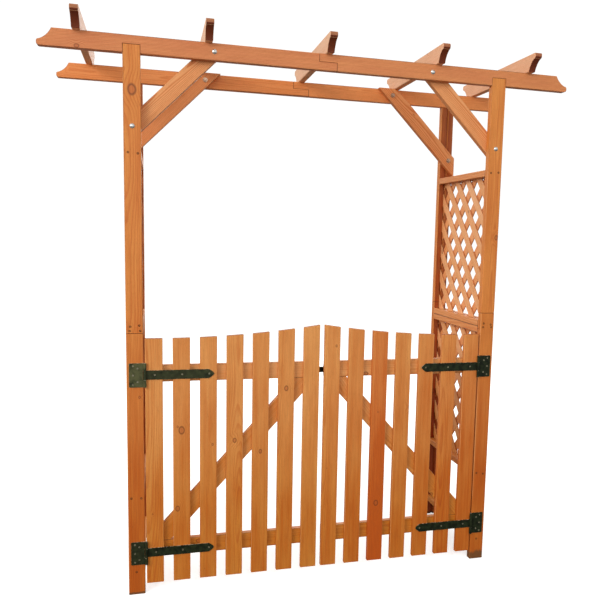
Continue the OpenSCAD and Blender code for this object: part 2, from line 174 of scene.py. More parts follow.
# Glaze: bare pine, what one coat lets through, and each timber's thinnest and deepest coats
BARE_PINE = (0.97, 0.66, 0.45)
COAT = (0.85, 0.64, 0.35)
COATS = {"lattice": (0.5, 1.5), "rafter": (0.5, 1.5), "side": (1.5, 2.5), "gate_rails": (1.0, 2.5),
         "brace": (1.0, 2.5), "gate_pickets": (1.5, 3.5), "beam_back": (1.0, 2.0),
         "post": (2.0, 4.0), "beam": (2.0, 3.5)}

# Sun and dust: the film they leave, and how much of it each timber has; on the rafters the film is also
# a painted sheen
FILM = (0.60, 0.42, 0.34)
BLEACHED_AND_SHEEN = {"rafter": 0.4, "beam": 0.2, "side": 0.1, "brace": 0.1}

# Figure: how bold it stands and how wide the growth rings are, and how rough the glaze is
BOLD_FIGURE = {"brace": 0.95, "beam": 0.75}
PLAIN_FIGURE = 0.5
RING_WIDTH = 0.0042
SLAT_RING_WIDTH = 0.003
PINE_ROUGHNESS = 0.52

# How pale (+) or deep (-) each board's glaze is, and how red, along a node's boards
TONES = {
    "gate_pickets_left": (0.3, 0.3, 0.3, 0.4, 0.2, 0.2, 0.6),
    "gate_pickets_right": (0.4, 0.1, -0.8, 0.2, 0.0, -0.2, -0.3),
    "post_front_left_upper": (0.1,), "post_front_left_lower": (-0.1,),
    "post_front_right_upper": (0.3,), "post_front_right_lower": (0.0,),
    "beam_front_left": (-0.2,), "beam_front_right": (0.5,),
    # The back beams are set paler, the right one most: painted light, making up for the lamps falling
    # off to the right and back
    "beam_back_left": (0.6,), "beam_back_right": (1.0,),
}
REDS = {"gate_pickets_right": (0.2, 0.2, 1.0, 0.1, 0.2, 0.3, 0.4),
        "beam_back_left": (1.0,), "beam_back_right": (1.0,), "brace_back_right": (0.8,),
        "brace_back_left": (0.7,), "brace_front_left": (0.4,), "brace_front_right": (0.5,),
        "beam_front_left": (0.4,), "beam_front_right": (0.4,),
        "rafter_4": (0.3,), "rafter_5": (0.3,), "post_front_right_upper": (0.3,)}
RED_OF_KIND = {"lattice": 0.3, "side": 0.3, "post": 0.2}
RED_TO_THE_FOOT = 0.6

# How high a dark band rises from the ground at a board's foot
FOOT_BAND = {"post_front_right_lower": 0.034}
FOOT_BAND_ELSEWHERE = 0.01

# Knots that stand in view: board from the left, share of its height, radius
KNOTS_IN_VIEW = {
    "post_front_left_upper": ((0, 0.85, 0.013),),
    "gate_pickets_left": ((1, 0.6, 0.009), (3, 0.55, 0.006), (4, 0.5, 0.006), (5, 0.75, 0.007)),
    "gate_pickets_right": ((2, 0.25, 0.008),),
}

# Knots: how deep those in view lie, and what a distance along and through a board counts for
KNOT_DEPTH = 0.009
KNOT_ALONG = 0.72
KNOT_THROUGH = 0.3

# Paint faded by the sun, on a node's plates or straps from bottom to top
FADED = {"hinge_plates_left": (0.1, 0.7), "hinge_straps_left": (0.0, 0.2)}

# What the figure of the wood is made of, and which marks on a mesh the glaze and its painted shade
# follow
FIGURE_PARTS = ("Latewood", "Fibres", "Streaks", "Knot", "Knot Rim", "Pores")
GLAZE_MARKS = {"Tone": "tone", "Redness": "red", "End Grain And Shade": "end_grain_and_shade", "Wear And Highlight": "wear_and_highlight",
               "Seam": "seam", "Foot Band": "foot_band"}

FLOAT, VECTOR, COLOUR = "NodeSocketFloat", "NodeSocketVector", "NodeSocketColor"


# -------- node helpers

def tint(red, green, blue):
    """A colour given as it looks on a screen, 0 to 255, in linear light."""
    parts = [v / 255 for v in (red, green, blue)]
    return tuple(v / 12.92 if v <= 0.04045 else ((v + 0.055) / 1.055) ** 2.4 for v in parts) + (1.0,)


def feed(tree, socket, value):
    """Joins another node's output to a socket, or sets the socket's own value."""
    if isinstance(value, bpy.types.NodeSocket):
        tree.links.new(value, socket)
    else:
        socket.default_value = value


def set_inputs(tree, node, values):
    """Feeds a node's inputs by name or number."""
    for socket, value in values.items():
        feed(tree, node.inputs[socket], value)


def add(tree, kind, values=None, **settings):
    """A node with its settings made and its inputs fed by name or number."""
    made = tree.nodes.new(kind)
    for name, value in settings.items():
        setattr(made, name, value)
    set_inputs(tree, made, values or {})
    return made


def calc(tree, operation, *values, clamp=False):
    """The result of one sum on single values."""
    node = add(tree, "ShaderNodeMath", dict(enumerate(values)), operation=operation)
    node.use_clamp = clamp
    return node.outputs[0]


def times(tree, first, second):
    return calc(tree, "MULTIPLY", first, second)


def plus(tree, first, second):
    return calc(tree, "ADD", first, second)


def minus(tree, first, second):
    return calc(tree, "SUBTRACT", first, second)


def sway(tree, value, amount):
    """A pattern's value, which lies about a half, as a sway of some amount about nothing."""
    return times(tree, minus(tree, value, 0.5), amount)


def vector_calc(tree, operation, *values):
    """The result of one sum on vectors."""
    node = add(tree, "ShaderNodeVectorMath", dict(enumerate(values)), operation=operation)
    return node.outputs["Value" if operation in ("LENGTH", "DISTANCE", "DOT_PRODUCT") else 0]


def span(tree, value, low, high, start=0.0, end=1.0):
    """Turns the range low..high of a value into start..end, easing in and out."""
    return add(tree, "ShaderNodeMapRange", {0: value, 1: low, 2: high, 3: start, 4: end},
               interpolation_type="SMOOTHSTEP").outputs[0]


def blend(tree, amount, first, second, mode="MIX"):
    """A mix of two colours."""
    return add(tree, "ShaderNodeMix", data_type="RGBA", blend_type=mode,
               values={0: amount, 6: first, 7: second}).outputs[2]


def stain(tree, amount, colour, through):
    """A colour seen through another, by some amount."""
    return blend(tree, amount, colour, blend(tree, 1.0, colour, through, "MULTIPLY"))


def split(tree, vector):
    """A vector's three parts."""
    node = add(tree, "ShaderNodeSeparateXYZ", {0: vector})
    return node.outputs[0], node.outputs[1], node.outputs[2]


def join(tree, x, y, z):
    return add(tree, "ShaderNodeCombineXYZ", {0: x, 1: y, 2: z}).outputs[0]


def noise(tree, vector, scale, detail, roughness=0.5, output=0):
    """Cloudy noise: output 0 is a value and output 1 a colour."""
    values = {"Vector": vector, "Scale": scale, "Detail": detail, "Roughness": roughness}
    return add(tree, "ShaderNodeTexNoise", values).outputs[output]


def bump(tree, height, strength, distance):
    """The normal of a surface with a slight relief."""
    values = {"Height": height, "Strength": strength, "Distance": distance}
    return add(tree, "ShaderNodeBump", values).outputs[0]


def attribute(tree, name, output="Fac"):
    """A mark that the mesh carries, as a value, or as a vector."""
    return add(tree, "ShaderNodeAttribute", attribute_name=name).outputs[output]


def new_group(name, inputs, outputs):
    """An empty shader node group with named sockets, and its inputs and outputs."""
    group = bpy.data.node_groups.new(name, "ShaderNodeTree")
    for label, kind in inputs:
        group.interface.new_socket(label, in_out="INPUT", socket_type=kind)
    for label, kind in outputs:
        group.interface.new_socket(label, in_out="OUTPUT", socket_type=kind)
    given = group.nodes.new("NodeGroupInput").outputs
    made = group.nodes.new("NodeGroupOutput").inputs
    return group, given, made


def use_group(tree, group, values):
    """A placed node group's outputs, with its inputs fed by name."""
    node = tree.nodes.new("ShaderNodeGroup")
    node.node_tree = group
    set_inputs(tree, node, values)
    return node.outputs


def new_material(name):
    """A material with a bare Principled shader: its tree and the shader."""
    material = bpy.data.materials.new(name)
    material.use_nodes = True
    tree = material.node_tree
    return material, tree, tree.nodes["Principled BSDF"]


def object_place(tree):
    """A point's place in its object's own space."""
    return add(tree, "ShaderNodeTexCoord").outputs["Object"]


# -------- effects shared by materials

def board_middle(name, count):
    """How far right a board's middle is, a node's boards being counted from the left."""
    low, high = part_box(name)
    if not name.startswith("gate_pickets"):
        return (low.x + high.x) / 2
    pitch = (high.x - low.x - 2 * HALF_BOARD) / (PICKETS - 1)
    return low.x + HALF_BOARD + count * pitch


def knots_in_view():
    """The middle of each knot in view, a little behind its board's front, and its radius."""
    for name, knots in KNOTS_IN_VIEW.items():
        low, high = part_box(name)
        for count, share, radius in knots:
            height = low.z + share * (high.z - low.z)
            yield (board_middle(name, count), low.y + KNOT_DEPTH, height), radius


def placed_knots_group():
    """How far a point is from the nearest knot in view, in knot radii."""
    group, given, made = new_group("placed knots", [("Position", VECTOR)], [("Distance", FLOAT)])
    nearest = None
    for place, radius in knots_in_view():
        away = vector_calc(group, "SUBTRACT", given["Position"], place)
        shape = (1 / radius, KNOT_THROUGH / radius, KNOT_ALONG / radius)
        reach = vector_calc(group, "LENGTH", vector_calc(group, "MULTIPLY", away, shape))
        nearest = reach if nearest is None else calc(group, "MINIMUM", nearest, reach)
    feed(group, made["Distance"], nearest)
    return group


def scattered_knots(tree, along, across):
    """Distance to the nearest of the knots that a board happens to have, in knot radii."""
    pitch_along, pitch_across = 0.42, 0.11
    cells = join(tree, calc(tree, "DIVIDE", along, pitch_along),
                 plus(tree, calc(tree, "DIVIDE", across, pitch_across), 0.5), 0.0)
    found = add(tree, "ShaderNodeTexVoronoi", {"Vector": cells, "Scale": 1.0, "Randomness": 0.9},
                voronoi_dimensions="2D")
    away = vector_calc(tree, "SUBTRACT", cells, found.outputs["Position"])
    away = vector_calc(tree, "MULTIPLY", away, (KNOT_ALONG * pitch_along, pitch_across, 0.0))
    # Half of the cells hold only a speck, and the others a knot of up to 7 mm
    chance = split(tree, found.outputs["Color"])[0]
    size = calc(tree, "MAXIMUM", minus(tree, chance, 0.5), 0.002)
    return calc(tree, "DIVIDE", vector_calc(tree, "LENGTH", away), times(tree, size, 0.014))


def fibrous(tree, board, lengthwise, crosswise, detail, roughness=0.5):
    """Noise that is drawn out along a board's fibres."""
    along, across, through = board
    space = join(tree, times(tree, along, lengthwise), times(tree, across, crosswise),
                 times(tree, through, crosswise))
    return noise(tree, space, 1.0, detail, roughness)


def growth_ring(tree, board, heart, ripple, reach):
    """How far a point is from the heart of its log, which wanders and swerves round knots."""
    along, across, through = board
    heart_across, heart_through, seed = heart
    wander = noise(tree, join(tree, times(tree, along, 1.3), seed, 0.0), 1.0, 1.0, output=1)
    drift_across, drift_through = split(tree, wander)[:2]
    ring_x = plus(tree, minus(tree, across, heart_across), sway(tree, drift_across, 0.045))
    ring_y = plus(tree, minus(tree, through, heart_through), sway(tree, drift_through, 0.06))
    ring = calc(tree, "SQRT", plus(tree, times(tree, ring_x, ring_x), times(tree, ring_y, ring_y)))
    swirl = span(tree, reach, 0.9, 4.5, 1.0, 0.0)
    ring = plus(tree, ring, times(tree, swirl, 0.007))
    return plus(tree, ring, times(tree, ripple, 0.005))


def pine_figure_group():
    """The figure of a sawn pine board: growth rings, fibres, streaks of glaze and knots."""
    group, given, made = new_group(
        "pine figure",
        [("Board", VECTOR), ("Heart", VECTOR), ("Placed Knot", FLOAT), ("Ring Width", FLOAT)],
        [(part, FLOAT) for part in FIGURE_PARTS])
    board = split(group, given["Board"])
    heart = split(group, given["Heart"])
    reach = calc(group, "MINIMUM", scattered_knots(group, *board[:2]), given["Placed Knot"])
    ripple = fibrous(group, board, 7.0, 26.0, 2.0)
    ring = growth_ring(group, board, heart, ripple, reach)
    turn = calc(group, "FRACT", calc(group, "DIVIDE", ring, given["Ring Width"]))
    darkening, end_of_year = span(group, turn, 0.35, 0.86), span(group, turn, 0.90, 1.0, 1.0, 0.0)
    ragged = plus(group, reach, sway(group, ripple, 0.8))
    inner_rim, outer_rim = span(group, ragged, 0.7, 0.95), span(group, ragged, 1.0, 1.45, 1.0, 0.0)
    feed(group, made["Latewood"], times(group, darkening, end_of_year))
    feed(group, made["Fibres"], fibrous(group, board, 14.0, 650.0, 2.0, 0.6))
    feed(group, made["Streaks"], fibrous(group, board, 2.2, 95.0, 3.0, 0.6))
    feed(group, made["Pores"], span(group, fibrous(group, board, 90.0, 1500.0, 1.0), 0.62, 0.74))
    feed(group, made["Knot"], span(group, ragged, 0.78, 1.02, 1.0, 0.0))
    feed(group, made["Knot Rim"], times(group, inner_rim, outer_rim))
    return group


def glaze_depth(tree, given):
    """How deep the glaze is, by the board's tone, its streaks and clouds; and darker towards the
    ground.
    """
    depth = calc(tree, "MULTIPLY_ADD", given["Tone"], -0.34, 0.36)
    depth = plus(tree, depth, sway(tree, given["Streaks"], 0.9))
    depth = plus(tree, depth, sway(tree, given["Cloud"], 1.0))
    return calc(tree, "ADD", depth, span(tree, given["Height"], 0.1, 1.15, 0.5, 0.0), clamp=True)


def glaze_over_figure(tree, given, colour):
    """What the wood under the glaze adds: red wood, latewood, fibres, pores and knots."""
    colour = stain(tree, times(tree, given["Redness"], 0.6), colour, tint(255, 190, 135))
    colour = stain(tree, times(tree, given["Latewood"], given["Boldness"]), colour, tint(228, 188, 150))
    fine = span(tree, given["Fibres"], 0.3, 0.7, 0.92, 1.07)
    colour = blend(tree, 1.0, colour, join(tree, fine, fine, fine), "MULTIPLY")
    colour = blend(tree, times(tree, given["Pores"], 0.35), colour, tint(112, 56, 22))
    colour = blend(tree, times(tree, given["Knot"], 0.5), colour, tint(170, 85, 40))
    return blend(tree, times(tree, given["Knot Rim"], 0.75), colour, tint(104, 48, 18))


def glaze_wear_and_shade(tree, given, colour):
    """What its place, age and painted shade add: end grain, painted shade on undersides and slat edges,
    less blue lower down, rubbed edges, painted shade beside crossing slats and the lattice, seams dark
    with glaze, dirt and painted shade, and a dark band at the foot.
    """
    # End grain is stained darker, and slat edges get the same as painted shade; undersides, marked 2,
    # get a further painted shade
    colour = stain(tree, calc(tree, "MINIMUM", given["End Grain And Shade"], 1.0), colour, tint(185, 150, 125))
    under = calc(tree, "MAXIMUM", minus(tree, given["End Grain And Shade"], 1.0), 0.0)
    colour = stain(tree, under, colour, tint(180, 130, 95))
    low = span(tree, given["Height"], 0.12, 0.75, 1.0, 0.0)
    colour = stain(tree, low, colour, tint(250, 250, 200))
    rubbed = times(tree, given["Wear And Highlight"], span(tree, given["Cloud"], 0.42, 0.66, 0.0, 0.55))
    colour = blend(tree, rubbed, colour, blend(tree, 0.45, given["Pale"], tint(236, 190, 132)))
    # Painted shade beside crossing slats and on post faces beside the lattice
    colour = stain(tree, times(tree, given["Painted Shade"], 0.8), colour, tint(176, 122, 88))
    # Seams darken: glaze and dirt gathered there, and painted shade between the boards
    colour = blend(tree, times(tree, given["Seam"], 0.6), colour, tint(72, 32, 12))
    # A dark band at the foot, up to the height given for the board
    rise = calc(tree, "DIVIDE", given["Height"], given["Foot Band"])
    rise = plus(tree, rise, sway(tree, given["Streaks"], 1.2))
    return blend(tree, span(tree, rise, 0.7, 1.15, 0.75, 0.0), colour, tint(84, 66, 40))


def thin_glaze_group():
    """The colour of an orange-brown garden glaze over pine, deeper where the wood drinks it, with
    painted shade on undersides, slat edges, seams and beside the lattice.
    """
    values = ("Boldness", "Height", "Cloud", "Painted Shade", *GLAZE_MARKS, *FIGURE_PARTS)
    group, given, made = new_group(
        "thin glaze", [("Pale", COLOUR), ("Deep", COLOUR)] + [(label, FLOAT) for label in values],
        [("Colour", COLOUR)])
    colour = blend(group, glaze_depth(group, given), given["Pale"], given["Deep"])
    colour = glaze_over_figure(group, given, colour)
    feed(group, made["Colour"], glaze_wear_and_shade(group, given, colour))
    return group


def chipped_edge_group():
    """Where paint or plating has rubbed off: along edges marked for wear and in small chips; the tops
    of iron fittings carry that mark too, as a painted highlight.
    """
    group, given, made = new_group(
        "chipped edge", [("Position", VECTOR), ("Wear And Highlight", FLOAT), ("Chips", FLOAT)], [("Bare", FLOAT)])
    patch = noise(group, given["Position"], 140.0, 3.0)
    fleck = noise(group, given["Position"], 420.0, 2.0)
    edge = times(group, given["Wear And Highlight"], span(group, patch, 0.46, 0.6))
    chips = times(group, span(group, fleck, 0.68, 0.74), given["Chips"])
    feed(group, made["Bare"], calc(group, "MAXIMUM", edge, chips))
    return group


FIGURE = pine_figure_group()
KNOTS = placed_knots_group()
GLAZE = thin_glaze_group()
CHIPPED = chipped_edge_group()


# -------- materials

def painted_shade_of(tree):
    """Where painted shade falls on a slat beside the slats that cross it, or on a board beside the
    panel.
    """
    along_pitch = attribute(tree, "crossing")
    away = calc(tree, "ABSOLUTE", minus(tree, calc(tree, "FRACT", along_pitch), 0.5))
    beside = span(tree, away, *CROSSING_SHADE, 1.0, 0.0)
    return times(tree, attribute(tree, "painted_shade"), beside)


def pine_relief(tree, figure):
    """How the figure of glazed pine stands up or is sunk."""
    relief = minus(tree, times(tree, figure["Latewood"], 0.5), times(tree, figure["Pores"], 0.5))
    relief = plus(tree, relief, times(tree, figure["Fibres"], 0.8))
    return minus(tree, relief, figure["Knot Rim"])


def stained_pine(name, pale, deep, ring_width, boldness):
    """Pine under a thin glaze, from each board's own grain attributes."""
    material, tree, shader = new_material(name)
    place = object_place(tree)
    board = attribute(tree, "board", "Vector")
    knots = use_group(tree, KNOTS, {"Position": place})["Distance"]
    figure = use_group(tree, FIGURE, {"Board": board, "Heart": attribute(tree, "heart", "Vector"),
                                      "Placed Knot": knots, "Ring Width": ring_width})
    clouds = add(tree, "ShaderNodeMapping", {"Vector": board, "Scale": (4.0, 16.0, 16.0)}).outputs[0]
    colour = use_group(tree, GLAZE, {
        "Pale": pale, "Deep": deep, "Boldness": boldness, "Height": split(tree, place)[2],
        "Cloud": noise(tree, clouds, 1.0, 2.0), "Painted Shade": painted_shade_of(tree),
        **{label: attribute(tree, mark) for label, mark in GLAZE_MARKS.items()},
        **{part: figure[part] for part in FIGURE_PARTS}})["Colour"]
    rough = span(tree, figure["Fibres"], 0.3, 0.7, PINE_ROUGHNESS + 0.1, PINE_ROUGHNESS - 0.06)
    set_inputs(tree, shader, {
        "Base Color": colour,
        "Roughness": plus(tree, rough, times(tree, figure["Pores"], 0.15)),
        "Specular IOR Level": 0.35,
        "Normal": bump(tree, pine_relief(tree, figure), 0.5, 0.0004)})
    return material


def painted_iron():
    """Near-black green paint on galvanised iron, rubbed through along the edges, with bare patches on
    top as a painted highlight.
    """
    material, tree, shader = new_material("black_green_paint")
    place = object_place(tree)
    bare = use_group(tree, CHIPPED, {"Position": place, "Chips": 0.15,
                                     "Wear And Highlight": attribute(tree, "wear_and_highlight")})["Bare"]
    mottle = noise(tree, place, 60.0, 3.0)
    paint = blend(tree, span(tree, mottle, 0.35, 0.65), tint(18, 24, 12), tint(34, 42, 22))
    patches = span(tree, noise(tree, place, 50.0, 3.0), 0.2, 0.6)
    paint = blend(tree, times(tree, attribute(tree, "faded"), patches), paint, tint(96, 96, 62))
    relief = minus(tree, times(tree, noise(tree, place, 900.0, 2.0), 0.6), bare)
    set_inputs(tree, shader, {
        "Base Color": blend(tree, bare, paint, tint(196, 184, 158)),
        "Metallic": times(tree, bare, 0.6),
        "Roughness": span(tree, mottle, 0.3, 0.7, 0.38, 0.52),
        "Specular IOR Level": 0.16,
        "Normal": bump(tree, relief, 0.35, 0.0003)})
    return material


def zinc(name, light, dark, roughness):
    """Zinc plating with soft crystal patches and dull stains."""
    material, tree, shader = new_material(name)
    place = object_place(tree)
    crystals = add(tree, "ShaderNodeTexVoronoi", {"Vector": place, "Scale": 380.0}).outputs["Color"]
    dullness = noise(tree, place, 170.0, 3.0)
    base = blend(tree, split(tree, crystals)[0], light, dark)
    base = blend(tree, times(tree, attribute(tree, "wear_and_highlight"), 0.4), base, tint(240, 238, 230))
    base = blend(tree, span(tree, dullness, 0.55, 0.75, 0.0, 0.55), base, tint(104, 92, 74))
    base = blend(tree, times(tree, attribute(tree, "faded"), 0.75), base, tint(165, 120, 80))
    set_inputs(tree, shader, {
        "Base Color": base,
        "Metallic": 0.85,
        "Roughness": span(tree, dullness, 0.35, 0.7, roughness, roughness + 0.25),
        "Normal": bump(tree, dullness, 0.2, 0.0002)})
    return material


def floor_paper():
    """Plain pale studio floor, which throws little light back up under the boards."""
    material, tree, shader = new_material("studio_floor")
    seen = add(tree, "ShaderNodeLightPath").outputs["Is Camera Ray"]
    grain = span(tree, noise(tree, object_place(tree), 9.0, 3.0), 0.3, 0.7)
    pale = blend(tree, grain, tint(240, 240, 239), tint(244, 244, 243))
    set_inputs(tree, shader, {
        "Base Color": blend(tree, seen, tint(120, 116, 110), pale),
        "Roughness": 0.95,
        "Specular IOR Level": 0.0,
        "Emission Color": (1, 1, 1, 1),
        "Emission Strength": times(tree, seen, FLOOR_GLOW)})
    return material


def glazed(kind, coats):
    """Bare pine under a number of coats of glaze, and under what film it has, which on the rafters is
    also a painted sheen.
    """
    share = BLEACHED_AND_SHEEN.get(kind, 0.0)
    return tuple((1 - share) * wood * through ** coats + share * film
                 for wood, through, film in zip(BARE_PINE, COAT, FILM)) + (1.0,)


def pine_of(kind):
    """The glazed pine of one kind of timber."""
    thin, thick = COATS[kind]
    ring_width = SLAT_RING_WIDTH if kind == "lattice" else RING_WIDTH
    return stained_pine(kind + "_pine", glazed(kind, thin), glazed(kind, thick), ring_width,
                        BOLD_FIGURE.get(kind, PLAIN_FIGURE))


PINE = {kind: pine_of(kind) for kind in COATS}
PINE["gate_brace"] = PINE["gate_rails"]
IRON = painted_iron()
BOLT_ZINC = zinc("bright_zinc", tint(214, 214, 208), tint(178, 180, 178), 0.2)
SCREW_ZINC = zinc("screw_zinc", tint(160, 155, 130), tint(110, 105, 85), 0.45)
SCREW_GLAZED = zinc("glazed_over_screw", tint(122, 78, 44), tint(84, 50, 28), 0.42)
WOOD_SLOTS = {"post": "post_wood", "beam_back": "beam_wood", "beam": "beam_wood",
              "rafter": "rafter_wood", "brace": "brace_wood", "side": "rail_wood",
              "lattice": "lattice_wood", "gate_pickets": "picket_wood",
              "gate_rails": "gate_rail_wood", "gate_brace": "gate_rail_wood"}


# -------- mesh helpers

def merged_copy(name):
    """A copy of a CAD node's mesh with its corners joined and flat faces whole."""
    mesh = bmesh.new()
    mesh.from_mesh(frame["nodes"][name].data)
    bmesh.ops.remove_doubles(mesh, verts=mesh.verts, dist=1e-6)
    bmesh.ops.dissolve_limit(mesh, angle_limit=FLAT_BEND, verts=mesh.verts, edges=mesh.edges)
    mesh.faces.layers.float.new("wear_and_highlight")
    mesh.faces.layers.float.new("seam")
    return mesh


def close_holes(mesh, edges):
    """Fills the holes whose rims are among some edges."""
    bmesh.ops.holes_fill(mesh, edges=[edge for edge in edges if edge.is_boundary], sides=0)


def add_piece(mesh, name, body, material, slot, *stands_for):
    """A finished piece from a mesh, smooth across its rounded edges, riding on a body."""
    data = bpy.data.meshes.new(name)
    mesh.to_mesh(data)
    mesh.free()
    data.materials.append(material)
    data.shade_smooth()
    data.set_sharp_from_angle(angle=SMOOTH_BEND)
    piece = bpy.data.objects.new(name, data)
    bpy.context.scene.collection.objects.link(piece)
    piece.modifiers.new("even normals", "WEIGHTED_NORMAL").keep_sharp = True
    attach(piece, body)
    if stands_for:
        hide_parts(*stands_for)
    return piece


def body_of(name):
    """The body that a CAD node rides on."""
    return frame["nodes"][name]["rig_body"]


def kind_of(name):
    """The kind of timber that a CAD node is."""
    return next(kind for kind in WOOD_SLOTS if name.startswith(kind))


def boards_of(mesh):
    """The separate boards in a mesh, as lists of corners, from left to right and bottom to top."""
    mesh.verts.index_update()
    seen, boards = set(), []
    for start in mesh.verts:
        if start in seen:
            continue
        seen.add(start)
        board, edge_of_board = [], [start]
        while edge_of_board:
            corner = edge_of_board.pop()
            board.append(corner)
            for edge in corner.link_edges:
                other = edge.other_vert(corner)
                if other not in seen:
                    seen.add(other)
                    edge_of_board.append(other)
        boards.append(board)
    return sorted(boards, key=middle_of)


def middle_of(corners):
    """The middle of the box round some corners, to a tenth of a millimetre."""
    return tuple(round((min(v.co[k] for v in corners) + max(v.co[k] for v in corners)) / 2, 4)
                 for k in range(3))


def parts_of(corners, kind):
    """The edges or faces at some corners, in a settled order."""
    found = {part.index: part for corner in corners for part in getattr(corner, kind)}
    return [found[index] for index in sorted(found)]


class Grain:
    """A board's own directions: along the fibres, across its face and through its thickness."""

    def __init__(self, mesh, corners):
        mesh.edges.index_update()
        mesh.faces.index_update()
        longest = max(parts_of(corners, "link_edges"), key=lambda e: round(e.calc_length(), 5))
        widest = max(parts_of(corners, "link_faces"), key=lambda f: round(f.calc_area(), 7))
        self.along = forward((longest.verts[1].co - longest.verts[0].co).normalized())
        square_on = widest.normal - self.along * widest.normal.dot(self.along)
        self.through = forward(square_on.normalized())
        self.across = self.through.cross(self.along)
        ranges = [(min(v.co.dot(axis) for v in corners), max(v.co.dot(axis) for v in corners))
                  for axis in self.axes()]
        self.middle = [(low + high) / 2 for low, high in ranges]
        self.half = [(high - low) / 2 for low, high in ranges]

    def axes(self):
        return self.along, self.across, self.through

    def place(self, point):
        """A point's distances from the board's middle along its three directions."""
        return [point.dot(axis) - middle for axis, middle in zip(self.axes(), self.middle)]


def forward(direction):
    """The same direction, turned so that its largest part is positive."""
    largest = max(direction, key=abs)
    return direction if largest > 0 else -direction


def is_ridge(edge):
    """Whether the faces at an edge bend outwards enough for it to be rounded."""
    return edge.is_manifold and edge.calc_face_angle_signed(0.0) > RIDGE_BEND


def round_edges(mesh, edges, radius, segments):
    """Rounds edges and marks the new faces as worn."""
    if not edges:
        return
    made = bmesh.ops.bevel(mesh, geom=edges, offset=radius, offset_type="OFFSET", segments=segments,
                           profile=0.5, affect="EDGES", clamp_overlap=False, material=-1)
    wear_and_highlight = mesh.faces.layers.float["wear_and_highlight"]
    for face in made["faces"]:
        face[wear_and_highlight] = 1.0


def is_arris(edge, grain):
    """Whether an edge is one of the four long outer ones of its board."""
    start, end = (v.co for v in edge.verts)
    if (start - end).length < LONG_EDGE or not is_ridge(edge):
        return False
    if abs((end - start).normalized().dot(grain.along)) < ALONG_GRAIN:
        return False
    across, through = grain.place((start + end) / 2)[1:]
    to_corner = (grain.half[1] - abs(across), grain.half[2] - abs(through))
    return max(to_corner) < NEAR_CORNER


def round_arrises(mesh, radius):
    """Rounds the four long edges of every board."""
    chosen = []
    for board in boards_of(mesh):
        grain = Grain(mesh, board)
        chosen += [edge for edge in parts_of(board, "link_edges") if is_arris(edge, grain)]
    round_edges(mesh, chosen, radius, 3)


def in_small_hole(edge):
    """Whether an edge is the rim of a drilled hole: a wall beside it curves tightly inwards."""
    for face in edge.link_faces:
        for side in face.edges:
            if side is edge or not set(side.verts) & set(edge.verts) or not side.is_manifold:
                continue
            bend = side.calc_face_angle_signed(0.0)
            if HOLE_BEND[0] < bend < HOLE_BEND[1] and edge.calc_length() / -bend < TIGHT_CURVE:
                return True
    return False


def round_rims(mesh, radius, segments=1):
    """Takes the sharpness off all the other outer edges."""
    chosen = [e for e in mesh.edges if is_ridge(e) and not in_small_hole(e)]
    round_edges(mesh, chosen, radius, segments)


def cut_from_log(chance):
    """Where a board was cut from its log, the log's heart beside it, and its tone, by chance."""
    start = chance.uniform(0, 60)
    sideways = chance.choice((-1, 1)) * chance.choice((0.01, 0.03, 0.07, 0.11))
    behind = chance.choice((-1, 1)) * chance.uniform(0.018, 0.06)
    heart = Vector((sideways, behind, chance.uniform(0, 40)))
    return start, heart, chance.uniform(-0.45, 0.45)


def write_grain(mesh, name):
    """Gives every corner its place in its own board, and every board its own log and glaze."""
    vectors, values = mesh.verts.layers.float_vector, mesh.verts.layers.float
    board_layer, heart_layer = vectors.new("board"), vectors.new("heart")
    tone_layer, red_layer, foot_band_layer = values.new("tone"), values.new("red"), values.new("foot_band")
    end_and_shade_layer = mesh.faces.layers.float.new("end_grain_and_shade")
    chance = random.Random("grain of " + name)
    tones, reds = TONES.get(name, ()), REDS.get(name, ())
    for count, board in enumerate(boards_of(mesh)):
        grain = Grain(mesh, board)
        start, heart, tone = cut_from_log(chance)
        tone = tones[count] if count < len(tones) else tone
        red = reds[count] if count < len(reds) else RED_OF_KIND.get(kind_of(name), 0.0)
        upright = grain.along.z > SQUARELY
        for corner in board:
            along, across, through = grain.place(corner.co)
            # Upright boards turn redder and deeper towards the foot
            rise = 0.5 + 0.5 * along / grain.half[0] if upright else 0.0
            deeper = red * RED_TO_THE_FOOT * (0.5 - rise) if upright else 0.0
            corner[board_layer] = Vector((along + start, across, through))
            corner[heart_layer] = heart
            corner[tone_layer] = tone - deeper
            corner[red_layer] = red * (1.0 - RED_TO_THE_FOOT * rise)
            corner[foot_band_layer] = FOOT_BAND.get(name, FOOT_BAND_ELSEWHERE)
        for face in parts_of(board, "link_faces"):
            # Faces across the grain are end grain, marked 1; if they also face down they are marked 2,
            # for painted shade as undersides
            if abs(face.normal.dot(grain.along)) > END_SLANT:
                face[end_and_shade_layer] = 2.0 if face.normal.z < -UNDERCUT else 1.0


def beside(name):
    """The CAD nodes that stand against a node, as one list of corners and faces."""
    low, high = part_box(name)
    corners, faces = [], []
    for other in sorted(frame["nodes"]):
        near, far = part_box(other)
        apart = any(near[k] > high[k] + SEAM_REACH or far[k] < low[k] - SEAM_REACH for k in range(3))
        if other == name or apart:
            continue
        data = frame["nodes"][other].data
        faces += [[len(corners) + v for v in face.vertices] for face in data.polygons]
        corners += [v.co.copy() for v in data.vertices]
    return corners, faces


def mark_seams(mesh, name):
    """Marks the eased edges that lie against another board, darkened where glaze and dirt gather and
    with painted shade between the boards.
    """
    corners, faces = beside(name)
    if not faces:
        return
    others = BVHTree.FromPolygons(corners, faces)
    wear_and_highlight, seam = mesh.faces.layers.float["wear_and_highlight"], mesh.faces.layers.float["seam"]
    for face in mesh.faces:
        if face[wear_and_highlight] and others.find_nearest(face.calc_center_median(), SEAM_REACH)[0]:
            face[wear_and_highlight], face[seam] = 0.0, 1.0


# -------- timber

